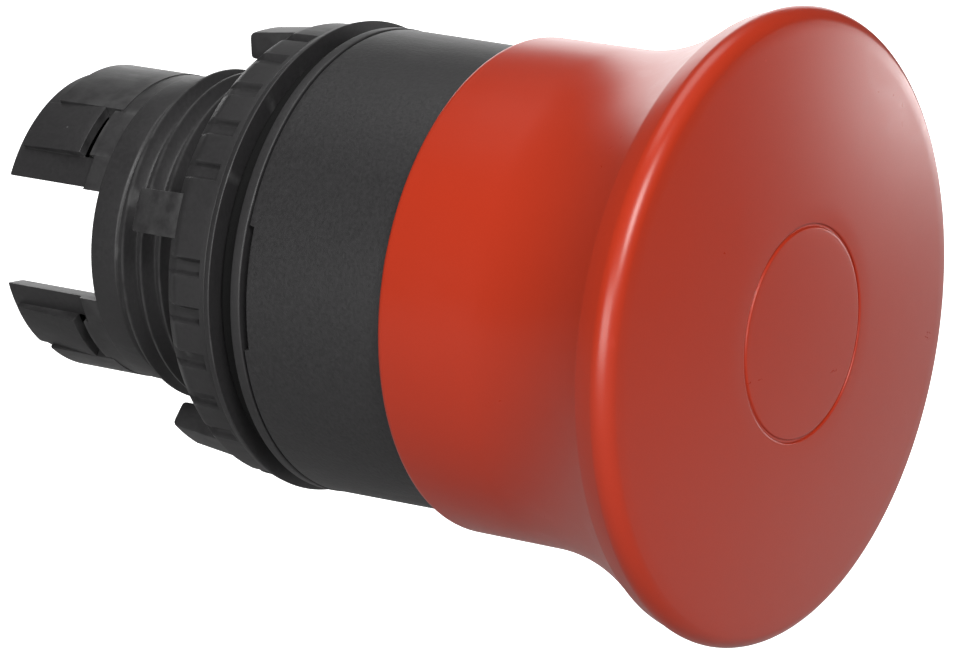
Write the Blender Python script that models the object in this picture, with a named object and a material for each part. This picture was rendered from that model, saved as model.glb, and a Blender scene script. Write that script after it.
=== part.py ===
"""Push-and-latch emergency stop head for a 22 mm panel hole, modelled piece by piece.

The axis of the head is the Y axis. The mushroom faces -Y, the panel's front face is at y = 0
and the fingers that take a contact block point along +Y. Lengths below are in millimetres, and
profiles are lists of (radius, y) points that are turned about the Y axis.
"""

import math

import bmesh
import bpy

MM = 0.001

# Driving dimensions, in millimetres and degrees.
CAP_RADIUS = 20.0
RIM_ROUND = 1.1
RIM_Y = -31.8
FACE_APEX_Y = -34.15
FACE_SPHERE_RADIUS = 143.0
SKIRT_RADIUS = 15.93
SKIRT_BORE = 15.4
SKIRT_REAR_Y = -13.14
FLARE_LENGTH = 12.0
FLARE_CURVE = 0.033
CEILING_Y = -29.4
DISC_RADIUS = 6.45
DISC_GAP = 0.3
DISC_SEAT_Y = -32.3

TRAVEL = 6.0
PITCH = 1.5
THREAD_CREST = 10.95
THREAD_CORE = 10.05
THREAD_START_Y = 0.7
THREAD_END_Y = 11.7
THREAD_PHASE_Y = 1.06
NECK_RADIUS = 10.2
BODY_BORE = 8.0

FLANGE_RADIUS = 15.15
FLANGE_FRONT_Y = -2.0
FLANGE_REAR_Y = -1.2
TUBE_RADIUS = 12.6
TUBE_BORE = 9.6
TUBE_FRONT_Y = -17.0
WEB_FRONT_Y = -9.0
WEB_REAR_Y = -7.0
WEB_BORE = 3.7

FINGER_RADIUS = 9.45
FINGER_FRONT_Y = 15.4
FINGER_REAR_Y = 22.0
FINGER_GAP = 7.3
FINGER_GAP_FRONT_Y = 13.9
SNAP_RADIUS = 10.15
SNAP_FRONT_Y = 16.4
SNAP_REAR_Y = 20.4
SNAP_PAD_REAR_Y = 21.4
SNAP_BACK_HALF_ANGLE = 36.0
SNAP_PAD_ANGLES = (35.0, 57.0)

NUT_RADIUS = 14.95
NUT_FRONT_Y = 0.9
NUT_REAR_Y = 4.5
NUT_THREAD_ROOT = 11.15
NUT_THREAD_CREST = 10.35
NUT_TEETH = 30
NUT_VALLEY_DEPTH = 0.5
NUT_VALLEY_ANGLE = 3.6
NUT_LUGS = 5
NUT_LUG_ANGLE = 11.5
NUT_LUG_START = -75.25
NUT_LUG_REAR_Y = 7.7
NUT_LUG_RADIUS = 14.3
WASHER_RADIUS = 15.4

SPINDLE_RADIUS = 3.4
DETENT_Y = -3.2
BALL_RADIUS = 1.25
BALL_RING_RADIUS = 4.9
BALLS = 4

FINE = 40
MEDIUM = 32
COARSE = 20

RED = (0.42, 0.022, 0.012, 1.0)
BLACK = (0.022, 0.022, 0.023, 1.0)
RUBBER_BLACK = (0.012, 0.012, 0.012, 1.0)
WASHER_BLACK = (0.03, 0.03, 0.031, 1.0)
IVORY = (0.62, 0.58, 0.48, 1.0)
STEEL = (0.62, 0.62, 0.63, 1.0)
SPRING_STEEL = (0.46, 0.46, 0.47, 1.0)


def clear_scene():
    for obj in list(bpy.data.objects):
        bpy.data.objects.remove(obj, do_unlink=True)


def plastic(name, colour, roughness, metallic=0.0):
    """One material, with the finish that the piece is moulded or made in."""
    material = bpy.data.materials.new(name)
    material.use_nodes = True
    shader = material.node_tree.nodes["Principled BSDF"]
    shader.inputs["Base Color"].default_value = colour
    shader.inputs["Roughness"].default_value = roughness
    shader.inputs["Metallic"].default_value = metallic
    return material


def finish(name, bm, material):
    """Turns the bmesh into an object of the scene, smooth where its faces meet gently."""
    bmesh.ops.recalc_face_normals(bm, faces=bm.faces)
    mesh = bpy.data.meshes.new(name)
    bm.to_mesh(mesh)
    bm.free()
    mesh.shade_smooth()
    mesh.set_sharp_from_angle(angle=math.radians(35))
    obj = bpy.data.objects.new(name, mesh)
    bpy.context.scene.collection.objects.link(obj)
    if material:
        obj.data.materials.append(material)
    return obj


def point(radius, y, degrees):
    """A point at this angle about +Y, by the right-hand rule from +Z, in metres."""
    angle = math.radians(degrees)
    return (radius * math.sin(angle) * MM, y * MM, radius * math.cos(angle) * MM)


def ring(bm, radius, y, segments):
    """A ring of vertices, or one vertex where the radius is nothing."""
    if radius == 0:
        return [bm.verts.new((0, y * MM, 0))]
    return [bm.verts.new(point(radius, y, 360 * i / segments)) for i in range(segments)]


def add_face(bm, corners):
    """A face through the corners that differ, if at least three do."""
    unique = list(dict.fromkeys(corners))
    if len(unique) > 2:
        bm.faces.new(unique)


def bridge(bm, first, second):
    """The faces between two rings, either of which may be one vertex on the axis."""
    count = max(len(first), len(second))
    if count == 1:
        return
    for i in range(count):
        k = (i + 1) % count
        near = first[i % len(first)], first[k % len(first)]
        far = second[k % len(second)], second[i % len(second)]
        add_face(bm, near + far)


def thread_between(bm, first, second, start, end, plain, stations):
    """A right-hand helical thread between two plain rings of the same radius.

    Each station is a (share of the pitch, radius) corner of the thread's section. Where the
    helix runs past an end it is held at that end's plain ring, so the thread fades into it.
    """
    segments = len(first)
    per_turn = len(stations)
    made = {}

    def vertex(i, row):
        turns, i = divmod(i, segments)
        row += turns * per_turn
        turn, station = divmod(row, per_turn)
        share, radius = stations[station]
        y = THREAD_PHASE_Y + PITCH * (turn + share + i / segments)
        if y <= start:
            return first[i]
        if y >= end:
            return second[i]
        if (i, row) not in made:
            made[i, row] = bm.verts.new(point(radius, y, 360 * i / segments))
        return made[i, row]

    low = per_turn * (math.floor((start - THREAD_PHASE_Y) / PITCH) - 2)
    high = per_turn * (math.ceil((end - THREAD_PHASE_Y) / PITCH) + 2)
    for i in range(segments):
        for row in range(low, high):
            corners = vertex(i, row), vertex(i + 1, row), vertex(i + 1, row + 1), vertex(i, row + 1)
            add_face(bm, corners)


def turned(name, profile, material, segments, thread=None, stations=()):
    """A closed outline turned about Y. A thread stands on the side after point number thread."""
    bm = bmesh.new()
    rings = [ring(bm, radius, y, segments) for radius, y in profile]
    for i, (first, second) in enumerate(zip(rings, rings[1:] + rings[:1])):
        if i == thread:
            plain, start = profile[i]
            end = profile[i + 1][1]
            if start > end:
                first, second, start, end = second, first, end, start
            thread_between(bm, first, second, start, end, plain, stations)
        else:
            bridge(bm, first, second)
    return finish(name, bm, material)


def arc(centre, radius, start, end, steps):
    """Points of an arc in the (radius, y) plane. Zero degrees points outwards, 90 along +Y."""
    points = []
    for i in range(steps + 1):
        angle = math.radians(start + (end - start) * i / steps)
        points.append((centre[0] + radius * math.cos(angle), centre[1] + radius * math.sin(angle)))
    return points


def add_sector(bm, radii, ends, angles, steps):
    """A closed block of a ring, between two radii, two places along Y and two angles."""
    inner, outer = radii
    front, rear = ends
    start, end = angles
    sections = []
    for i in range(steps + 1):
        degrees = start + (end - start) * i / steps
        corners = (inner, front), (outer, front), (outer, rear), (inner, rear)
        sections.append([bm.verts.new(point(radius, y, degrees)) for radius, y in corners])
    for near, far in zip(sections, sections[1:]):
        for i in range(4):
            k = (i + 1) % 4
            bm.faces.new((near[i], near[k], far[k], far[i]))
    bm.faces.new(sections[0])
    bm.faces.new(reversed(sections[-1]))


def add_block(bm, low, high):
    """A closed box between two corners, in millimetres."""
    made = bmesh.ops.create_cube(bm, size=1.0)
    for vertex in made["verts"]:
        for axis in range(3):
            middle = (low[axis] + high[axis]) / 2
            vertex.co[axis] = (middle + vertex.co[axis] * (high[axis] - low[axis])) * MM


def add_prism(bm, outline, front, rear):
    """A closed prism along Y over an outline of (x, z) points."""
    near = [bm.verts.new((x * MM, front * MM, z * MM)) for x, z in outline]
    far = [bm.verts.new((x * MM, rear * MM, z * MM)) for x, z in outline]
    bm.faces.new(near)
    bm.faces.new(reversed(far))
    for i in range(len(outline)):
        k = (i + 1) % len(outline)
        bm.faces.new((near[i], far[i], far[k], near[k]))


def combine(target, bm, operation):
    """Cuts the shape in bm from the target, or joins it on, with a Boolean that stays live."""
    helper = finish(f"{target.name}_{operation.lower()}", bm, None)
    helper.hide_render = True
    helper.display_type = "WIRE"
    modifier = target.modifiers.new(operation.title(), "BOOLEAN")
    modifier.operation = operation
    modifier.object = helper
    modifier.solver = "EXACT"


def face_y(radius):
    """Height of the gently domed face at this radius."""
    return FACE_APEX_Y + radius**2 / (2 * FACE_SPHERE_RADIUS)


def flare_radius(from_rim):
    """Outside radius of the trumpet, from its distance behind the rim's centre plane."""
    return SKIRT_RADIUS + FLARE_CURVE * (FLARE_LENGTH - from_rim) ** 2


def make_mushroom_cap(red):
    pocket = DISC_RADIUS + DISC_GAP
    rim_centre = (CAP_RADIUS - RIM_ROUND, RIM_Y)
    face = [(radius, face_y(radius)) for radius in (pocket, 11.0, 15.0)]
    rim = arc(rim_centre, RIM_ROUND, -90, 30, 4)
    flare = [(flare_radius(s), RIM_Y + s) for s in (1.3, 2.4, 3.6, 5.0, 6.6, 8.6, FLARE_LENGTH)]
    lip_round = 0.35
    lip = arc((SKIRT_RADIUS - lip_round, SKIRT_REAR_Y - lip_round), lip_round, 0, 90, 2)
    inside = [
        (SKIRT_BORE, SKIRT_REAR_Y),
        (SKIRT_BORE, CEILING_Y + 1.5),
        (SKIRT_BORE - 1.5, CEILING_Y),
        (7.2, CEILING_Y),
        (7.2, -24.0),
        (4.5, -24.0),
        (4.5, -27.8),
        (1.9, -27.8),
        (1.9, -29.6),
        (3.6, -29.6),
        (3.6, DISC_SEAT_Y),
        (pocket, DISC_SEAT_Y),
    ]
    turned("mushroom_cap", face + rim + flare + lip + inside, red, FINE)


def make_center_disc(red):
    rear = DISC_SEAT_Y - 0.2
    profile = [
        (0, FACE_APEX_Y),
        (3.4, face_y(3.4)),
        (DISC_RADIUS, face_y(DISC_RADIUS)),
        (DISC_RADIUS, rear),
        (0, rear),
    ]
    turned("cap_center_disc", profile, red, FINE)


def make_cap_screw(steel):
    head_front = -32.1
    head_rear = -30.35
    profile = [
        (0, head_front),
        (2.2, head_front),
        (2.9, head_front + 0.7),
        (3.0, head_rear),
        (1.5, head_rear),
        (1.5, -19.8),
        (0.9, -19.0),
        (0, -19.0),
    ]
    screw = turned("cap_screw", profile, steel, COARSE)
    wide = 0.35
    long = 1.5
    quarter = [(wide, long), (wide, wide), (long, wide)]
    outline = []
    for turn in range(4):
        for x, z in quarter:
            for _ in range(turn):
                x, z = z, -x
            outline.append((x, z))
    bm = bmesh.new()
    add_prism(bm, outline, head_front - 0.5, head_front + 1.0)
    combine(screw, bm, "DIFFERENCE")


def make_cap_washer(steel):
    profile = [(1.75, -30.2), (3.3, -30.2), (3.3, -29.75), (1.75, -29.75)]
    turned("cap_washer", profile, steel, COARSE)


def detent_groove(y):
    """The corners of one groove in the spindle, where the balls drop in."""
    floor = SPINDLE_RADIUS - 0.4
    return [(SPINDLE_RADIUS, y - 0.7), (floor, y - 0.3), (floor, y + 0.3), (SPINDLE_RADIUS, y + 0.7)]


def make_spindle(ivory):
    shoulder = -0.4
    front = [
        (1.8, -27.5),
        (3.9, -27.5),
        (4.2, -27.2),
        (4.2, -17.2),
        (SPINDLE_RADIUS, -16.6),
    ]
    rear = [
        (SPINDLE_RADIUS, shoulder),
        (2.6, shoulder),
        (2.6, 6.2),
        (2.05, 6.2),
        (2.05, 7.1),
        (2.6, 7.1),
        (2.6, 7.9),
        (2.2, 8.3),
        (0, 8.3),
        (0, -18.4),
        (1.8, -18.4),
    ]
    grooves = detent_groove(DETENT_Y - TRAVEL) + detent_groove(DETENT_Y)
    turned("spindle", front + grooves + rear, ivory, COARSE)


def make_spindle_clip(spring_steel):
    bm = bmesh.new()
    add_sector(bm, (2.25, 4.1), (6.4, 6.9), (35, 325), 14)
    finish("spindle_clip", bm, spring_steel)


def make_rear_pusher(ivory):
    front = -0.2
    rear = 11.5
    profile = [
        (2.8, front),
        (7.6, front),
        (7.6, rear - 0.3),
        (7.4, rear),
        (6.3, rear),
        (6.3, 1.4),
        (4.6, 1.4),
        (4.6, 6.0),
        (2.8, 6.0),
    ]
    turned("rear_pusher", profile, ivory, MEDIUM)


def add_fingers_and_snaps(body):
    """Opens the two finger gaps at +X and -X, then adds the raised backs and pads of the fingers."""
    half = FINGER_GAP / 2
    bm = bmesh.new()
    low = (-NECK_RADIUS - 1, FINGER_GAP_FRONT_Y, -half)
    add_block(bm, low, (NECK_RADIUS + 1, FINGER_REAR_Y + 1, half))
    combine(body, bm, "DIFFERENCE")
    backs = bmesh.new()
    pads = bmesh.new()
    radii = (FINGER_RADIUS - 0.3, SNAP_RADIUS)
    back = (FINGER_FRONT_Y - 0.2, SNAP_REAR_Y)
    pad = (SNAP_FRONT_Y, SNAP_PAD_REAR_Y)
    pad_radii = (radii[0], SNAP_RADIUS - 0.1)
    near, far = SNAP_PAD_ANGLES
    for side in (0, 180):
        add_sector(backs, radii, back, (side - SNAP_BACK_HALF_ANGLE, side + SNAP_BACK_HALF_ANGLE), 8)
        add_sector(pads, pad_radii, pad, (side + near, side + far), 2)
        add_sector(pads, pad_radii, pad, (side - far, side - near), 2)
    combine(body, backs, "UNION")
    combine(body, pads, "UNION")


def make_operator_body(black):
    inside = [
        (BODY_BORE, FINGER_REAR_Y),
        (BODY_BORE, WEB_REAR_Y),
        (WEB_BORE, WEB_REAR_Y),
        (WEB_BORE, WEB_FRONT_Y),
        (TUBE_BORE, WEB_FRONT_Y),
        (TUBE_BORE, TUBE_FRONT_Y),
    ]
    outside = [
        (TUBE_RADIUS, TUBE_FRONT_Y),
        (TUBE_RADIUS, FLANGE_FRONT_Y),
        (FLANGE_RADIUS, FLANGE_FRONT_Y),
        (FLANGE_RADIUS, FLANGE_REAR_Y),
        (THREAD_CREST, FLANGE_REAR_Y),
        (THREAD_CREST, THREAD_START_Y - 0.2),
        (THREAD_CORE, THREAD_START_Y),
        (THREAD_CORE, THREAD_END_Y),
        (NECK_RADIUS, THREAD_END_Y + 0.15),
        (NECK_RADIUS, FINGER_FRONT_Y - 0.4),
        (FINGER_RADIUS, FINGER_FRONT_Y + 0.2),
        (FINGER_RADIUS, FINGER_REAR_Y - 0.4),
        (FINGER_RADIUS - 0.25, FINGER_REAR_Y),
    ]
    stations = [(0.0, THREAD_CORE), (0.3, THREAD_CORE), (0.533, THREAD_CREST), (0.767, THREAD_CREST)]
    thread = len(inside) + outside.index((THREAD_CORE, THREAD_START_Y))
    body = turned("operator_body", inside + outside, black, MEDIUM, thread, stations)
    add_fingers_and_snaps(body)


def make_bezel_sleeve(black):
    rear = FLANGE_FRONT_Y - 0.15
    front = -22.0
    rear_radius = 15.1
    front_radius = 14.95
    profile = [
        (12.9, rear),
        (rear_radius, rear),
        (front_radius, -18.7),
        (14.2, -18.7),
        (14.2, -20.3),
        (front_radius, -20.3),
        (front_radius, front + 0.4),
        (front_radius - 0.4, front),
        (12.9, front),
        (12.9, front + 1.4),
        (13.6, front + 1.8),
        (13.6, rear - 2.4),
        (12.9, rear - 2.1),
    ]
    sleeve = turned("bezel_sleeve", profile, black, FINE)
    slot_length = 8.0
    slot_depth = 0.35
    bm = bmesh.new()
    for side in (-1, 1):
        ends = sorted((side * (rear_radius - 0.9), side * (rear_radius + 1)))
        low = (ends[0], rear - slot_depth, -slot_length / 2)
        add_block(bm, low, (ends[1], rear + 1, slot_length / 2))
    combine(sleeve, bm, "DIFFERENCE")


def make_skirt_wiper(rubber):
    profile = [(14.4, -20.1), (14.9, -20.1), (15.2, -19.5), (14.9, -18.9), (14.4, -18.9)]
    turned("skirt_wiper", profile, rubber, MEDIUM)


def make_panel_gasket(rubber):
    profile = [(11.2, -1.05), (14.7, -1.05), (14.85, -0.9), (14.85, -0.15), (14.7, 0), (11.2, 0)]
    turned("panel_gasket", profile, rubber, MEDIUM)


def make_thrust_washer(dark):
    front = 0.15
    rear = 0.7
    bore = 11.25
    profile = [(bore, front), (WASHER_RADIUS, front), (WASHER_RADIUS, rear), (bore, rear)]
    turned("thrust_washer", profile, dark, MEDIUM)


def make_ring_nut(black):
    profile = [
        (NUT_RADIUS - 0.4, NUT_FRONT_Y),
        (NUT_RADIUS, NUT_FRONT_Y + 0.3),
        (NUT_RADIUS, NUT_REAR_Y - 0.6),
        (NUT_RADIUS - 0.5, NUT_REAR_Y),
        (NUT_THREAD_ROOT + 0.5, NUT_REAR_Y),
        (NUT_THREAD_ROOT, NUT_REAR_Y - 0.3),
        (NUT_THREAD_ROOT, NUT_FRONT_Y + 0.3),
        (NUT_THREAD_ROOT + 0.35, NUT_FRONT_Y),
    ]
    thread_stations = [
        (0.037, NUT_THREAD_CREST),
        (0.263, NUT_THREAD_CREST),
        (0.45, NUT_THREAD_ROOT),
        (0.85, NUT_THREAD_ROOT),
    ]
    nut = turned("ring_nut", profile, black, MEDIUM, 5, thread_stations)
    teeth_per_lug = NUT_TEETH // NUT_LUGS
    valleys = bmesh.new()
    lugs = bmesh.new()
    for tooth in range(NUT_TEETH):
        middle = NUT_LUG_START + 360 * tooth / NUT_TEETH
        if tooth % teeth_per_lug:
            radii = (NUT_RADIUS - NUT_VALLEY_DEPTH, NUT_RADIUS + 1)
            ends = (NUT_FRONT_Y + 0.45, NUT_REAR_Y + 1)
            half = NUT_VALLEY_ANGLE / 2
            add_sector(valleys, radii, ends, (middle - half, middle + half), 1)
        else:
            radii = (NUT_THREAD_ROOT + 0.25, NUT_LUG_RADIUS)
            ends = (NUT_REAR_Y - 0.7, NUT_LUG_REAR_Y)
            half = NUT_LUG_ANGLE / 2
            add_sector(lugs, radii, ends, (middle - half, middle + half), 2)
    combine(nut, valleys, "DIFFERENCE")
    combine(nut, lugs, "UNION")


def make_stem_seal(rubber):
    profile = [
        (3.6, -10.6),
        (4.6, -10.6),
        (5.2, -10.2),
        (5.2, WEB_FRONT_Y - 0.3),
        (3.9, WEB_FRONT_Y - 0.3),
        (3.6, -10.1),
    ]
    turned("stem_seal", profile, rubber, COARSE)


def make_return_spring(spring_steel):
    """A coil of round wire from the web to the cap's hub, with its end turns closed up."""
    coil_radius = 6.2
    wire_radius = 0.5
    front = -23.85 + wire_radius
    rear = WEB_FRONT_Y - 0.15 - wire_radius
    turns = 6
    steps_per_turn = 12
    sides = 6
    steps = turns * steps_per_turn
    bm = bmesh.new()
    sections = []
    for step in range(steps + 1):
        share = step / steps
        eased = share - math.sin(2 * math.pi * share) / (2 * math.pi)
        y = front + (rear - front) * (0.25 * share + 0.75 * eased)
        section = []
        for side in range(sides):
            angle = 2 * math.pi * side / sides
            radius = coil_radius + wire_radius * math.cos(angle)
            place = point(radius, y + wire_radius * math.sin(angle), 360 * turns * share)
            section.append(bm.verts.new(place))
        sections.append(section)
    for near, far in zip(sections, sections[1:]):
        bridge(bm, near, far)
    bm.faces.new(sections[0])
    bm.faces.new(reversed(sections[-1]))
    finish("return_spring", bm, spring_steel)


def make_detent_cage(ivory):
    """The ring in the body's bore that guides the balls, with a groove for their spring."""
    profile = [
        (3.75, WEB_REAR_Y + 0.2),
        (7.7, WEB_REAR_Y + 0.2),
        (7.7, DETENT_Y - 0.9),
        (6.0, DETENT_Y - 0.9),
        (6.0, DETENT_Y + 0.9),
        (7.7, DETENT_Y + 0.9),
        (7.7, -0.6),
        (3.75, -0.6),
    ]
    cage = turned("detent_cage", profile, ivory, COARSE)
    bm = bmesh.new()
    hole_radius = BALL_RADIUS + 0.25
    sides = 10
    for ball in range(BALLS):
        across = math.radians(360 * ball / BALLS)
        ends = []
        for reach in (3.0, 6.6):
            rim = []
            for side in range(sides):
                angle = 2 * math.pi * side / sides
                along = hole_radius * math.cos(angle)
                x = reach * math.sin(across) + along * math.cos(across)
                z = reach * math.cos(across) - along * math.sin(across)
                y = DETENT_Y + hole_radius * math.sin(angle)
                rim.append(bm.verts.new((x * MM, y * MM, z * MM)))
            ends.append(rim)
        bridge(bm, ends[0], ends[1])
        bm.faces.new(ends[0])
        bm.faces.new(reversed(ends[1]))
    combine(cage, bm, "DIFFERENCE")


def make_detent_balls(steel):
    for ball in range(BALLS):
        bm = bmesh.new()
        bmesh.ops.create_icosphere(bm, subdivisions=2, radius=BALL_RADIUS * MM)
        obj = finish(f"detent_ball_{ball + 1}", bm, steel)
        obj.location = point(BALL_RING_RADIUS, DETENT_Y, 360 * ball / BALLS)


def make_detent_spring(spring_steel):
    """The closed band that presses the balls inwards."""
    wire_radius = 0.45
    centre = (BALL_RING_RADIUS + BALL_RADIUS + wire_radius + 0.12, DETENT_Y)
    profile = arc(centre, wire_radius, 0, 300, 5)
    turned("detent_spring", profile, spring_steel, 24)


def main():
    clear_scene()
    red = plastic("red_plastic", RED, 0.38)
    black = plastic("black_plastic", BLACK, 0.55)
    dark = plastic("washer_plastic", WASHER_BLACK, 0.5)
    rubber = plastic("seal_rubber", RUBBER_BLACK, 0.8)
    ivory = plastic("ivory_plastic", IVORY, 0.45)
    steel = plastic("plated_steel", STEEL, 0.25, 1.0)
    spring_steel = plastic("spring_steel", SPRING_STEEL, 0.3, 1.0)
    make_mushroom_cap(red)
    make_center_disc(red)
    make_cap_screw(steel)
    make_cap_washer(steel)
    make_spindle(ivory)
    make_spindle_clip(spring_steel)
    make_rear_pusher(ivory)
    make_operator_body(black)
    make_bezel_sleeve(black)
    make_skirt_wiper(rubber)
    make_panel_gasket(rubber)
    make_thrust_washer(dark)
    make_ring_nut(black)
    make_stem_seal(rubber)
    make_return_spring(spring_steel)
    make_detent_cage(ivory)
    make_detent_balls(steel)
    make_detent_spring(spring_steel)


main()
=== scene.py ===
"""Emergency stop head: the finished look of each piece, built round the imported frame.

The head's axis is Y. The mushroom faces -Y, the panel's front face is y = 0, and the fingers
for a contact block point along +Y. Outlines are lists of corners (radius, y, rounding) in
millimetres, turned about the Y axis. Angles about the axis are in degrees from +Z towards +X.
"""

import math

import bmesh
import bpy
from bpy.props import FloatProperty, FloatVectorProperty, PointerProperty
from mathutils import Matrix, Vector


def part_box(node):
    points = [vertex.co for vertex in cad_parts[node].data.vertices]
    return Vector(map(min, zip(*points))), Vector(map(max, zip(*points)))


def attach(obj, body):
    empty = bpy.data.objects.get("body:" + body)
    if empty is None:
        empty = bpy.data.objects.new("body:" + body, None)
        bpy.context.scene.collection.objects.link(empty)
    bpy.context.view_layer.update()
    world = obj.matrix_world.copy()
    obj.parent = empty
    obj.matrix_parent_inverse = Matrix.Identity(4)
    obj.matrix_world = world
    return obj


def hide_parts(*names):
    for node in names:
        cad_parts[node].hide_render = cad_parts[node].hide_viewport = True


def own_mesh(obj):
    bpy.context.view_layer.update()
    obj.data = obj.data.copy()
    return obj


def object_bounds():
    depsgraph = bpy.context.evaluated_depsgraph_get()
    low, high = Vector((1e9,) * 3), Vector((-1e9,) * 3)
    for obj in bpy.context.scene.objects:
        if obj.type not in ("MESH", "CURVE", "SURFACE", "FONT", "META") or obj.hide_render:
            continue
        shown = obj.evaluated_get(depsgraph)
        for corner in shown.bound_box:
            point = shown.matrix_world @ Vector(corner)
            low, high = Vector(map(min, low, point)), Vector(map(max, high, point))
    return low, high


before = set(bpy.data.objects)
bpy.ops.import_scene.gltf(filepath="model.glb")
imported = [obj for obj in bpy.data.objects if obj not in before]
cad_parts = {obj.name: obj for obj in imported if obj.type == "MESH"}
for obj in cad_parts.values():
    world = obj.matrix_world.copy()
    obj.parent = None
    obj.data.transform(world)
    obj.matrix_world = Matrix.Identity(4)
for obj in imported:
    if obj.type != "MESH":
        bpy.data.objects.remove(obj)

bl_info = {
    "name": "Emergency Stop Head",
    "version": (1, 0, 0),
    "blender": (4, 5, 0),
    "location": "3D View > Sidebar > Stop Head",
    "description": "Builds the finished pieces of a mushroom emergency stop head",
    "category": "Add Mesh",
}

MM = 0.001
CAD_LOW, CAD_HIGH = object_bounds()
CAP_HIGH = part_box("mushroom_cap")[1]
DISC_LOW, DISC_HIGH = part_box("cap_center_disc")
SLEEVE_LOW, SLEEVE_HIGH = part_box("bezel_sleeve")
BODY_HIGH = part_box("operator_body")[1]
GASKET_LOW, GASKET_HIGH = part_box("panel_gasket")
WASHER_LOW, WASHER_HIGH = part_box("thrust_washer")
NUT_LOW, NUT_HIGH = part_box("ring_nut")

# Steps in a full turn, on the pieces in sight and on the small ones inside.
SMOOTH = 192
INNER = 96
SHARP_ANGLE = math.radians(32)


# ---------------------------------------------------------------- settings of the add-on


class StopHeadSizes(bpy.types.PropertyGroup):
    """Sizes that change the look of the pieces. The frame gives the main ones."""

    rim_radius: FloatProperty(
        name="Rim radius",
        description="Outside radius of the mushroom",
        default=CAP_HIGH.x,
        unit="LENGTH",
    )
    rim_round: FloatProperty(
        name="Rim rounding",
        description="Radius of the rounding where the face meets the flare",
        default=1.1 * MM,
        unit="LENGTH",
    )
    skirt_radius: FloatProperty(
        name="Skirt radius",
        description="Outside radius of the straight part of the skirt",
        default=15.93 * MM,
        unit="LENGTH",
    )
    dome_radius: FloatProperty(
        name="Dome radius",
        description="Radius of the sphere that the face belongs to",
        default=143.0 * MM,
        unit="LENGTH",
    )
    disc_radius: FloatProperty(
        name="Centre disc radius",
        description="Radius of the disc in the middle of the face",
        default=6.6 * MM,
        unit="LENGTH",
    )
    thread_pitch: FloatProperty(
        name="Thread pitch",
        description="Distance from one turn of the thread to the next",
        default=1.5 * MM,
        unit="LENGTH",
    )
    tooth_depth: FloatProperty(
        name="Tooth depth",
        description="Depth of the serrations round the nut",
        default=0.5 * MM,
        unit="LENGTH",
    )


class StopHeadColours(bpy.types.PropertyGroup):
    """Colours of the mouldings and metals."""

    red: FloatVectorProperty(
        name="Red",
        description="Colour of the mushroom",
        subtype="COLOR",
        size=4,
        default=(0.385, 0.027, 0.008, 1.0),
    )
    black: FloatVectorProperty(
        name="Black",
        description="Colour of the body, sleeve and nut",
        subtype="COLOR",
        size=4,
        default=(0.0185, 0.0178, 0.0185, 1.0),
    )
    # Rubber: black rubber's own colour, darkened further as painted shade so that the panel gasket reads as
    # the shaded band between washer and flange.
    rubber: FloatVectorProperty(
        name="Rubber",
        description="Colour of the gasket and the seals",
        subtype="COLOR",
        size=4,
        default=(0.003, 0.003, 0.003, 1.0),
    )
    ivory: FloatVectorProperty(
        name="Ivory",
        description="Colour of the inner mouldings",
        subtype="COLOR",
        size=4,
        default=(0.60, 0.56, 0.46, 1.0),
    )
    steel: FloatVectorProperty(
        name="Steel",
        description="Colour of the screw, balls and springs",
        subtype="COLOR",
        size=4,
        default=(0.60, 0.60, 0.61, 1.0),
    )


def sizes():
    return bpy.context.scene.stop_head_sizes


def colours():
    return bpy.context.scene.stop_head_colours


# ---------------------------------------------------------------- shaping


def place_at(radius, y, degrees):
    """The point at this radius, height and angle, in metres."""
    angle = math.radians(degrees)
    return Vector((radius * math.sin(angle), y, radius * math.cos(angle))) * MM


def soften(corners, steps=5):
    """Replaces each corner that has a rounding by a short curve."""
    points = []
    count = len(corners)
    for i, (radius, y, rounding) in enumerate(corners):
        here = Vector((radius, y))
        if not rounding:
            points.append((radius, y))
            continue
        before = Vector(corners[i - 1][:2]) - here
        after = Vector(corners[(i + 1) % count][:2]) - here
        start = before.normalized() * min(rounding, before.length * 0.49)
        end = after.normalized() * min(rounding, after.length * 0.49)
        for step in range(steps + 1):
            t = step / steps
            curve = here + start * (1 - t) ** 2 + end * t**2
            points.append((curve.x, curve.y))
    return points


def even_angles(count):
    return [360 * i / count for i in range(count)]


def add_face(bm, corners):
    unique = list(dict.fromkeys(corners))
    if len(unique) > 2:
        bm.faces.new(unique)


def bridge(bm, first, second):
    """The faces between two rings, either of which may be one vertex on the axis."""
    count = max(len(first), len(second))
    if count == 1:
        return
    for i in range(count):
        k = (i + 1) % count
        near = (first[i % len(first)], first[k % len(first)])
        far = (second[k % len(second)], second[i % len(second)])
        add_face(bm, near + far)


def add_turned(bm, points, angles, shape=None):
    """Turns a closed outline about the axis. shape(radius, y, degrees) may move each point."""
    rings = []
    for radius, y in points:
        if radius == 0:
            rings.append([bm.verts.new((0, y * MM, 0))])
            continue
        row = []
        for degrees in angles:
            r, height = shape(radius, y, degrees) if shape else (radius, y)
            row.append(bm.verts.new(place_at(r, height, degrees)))
        rings.append(row)
    for first, second in zip(rings, rings[1:] + rings[:1]):
        bridge(bm, first, second)
    return rings


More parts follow.
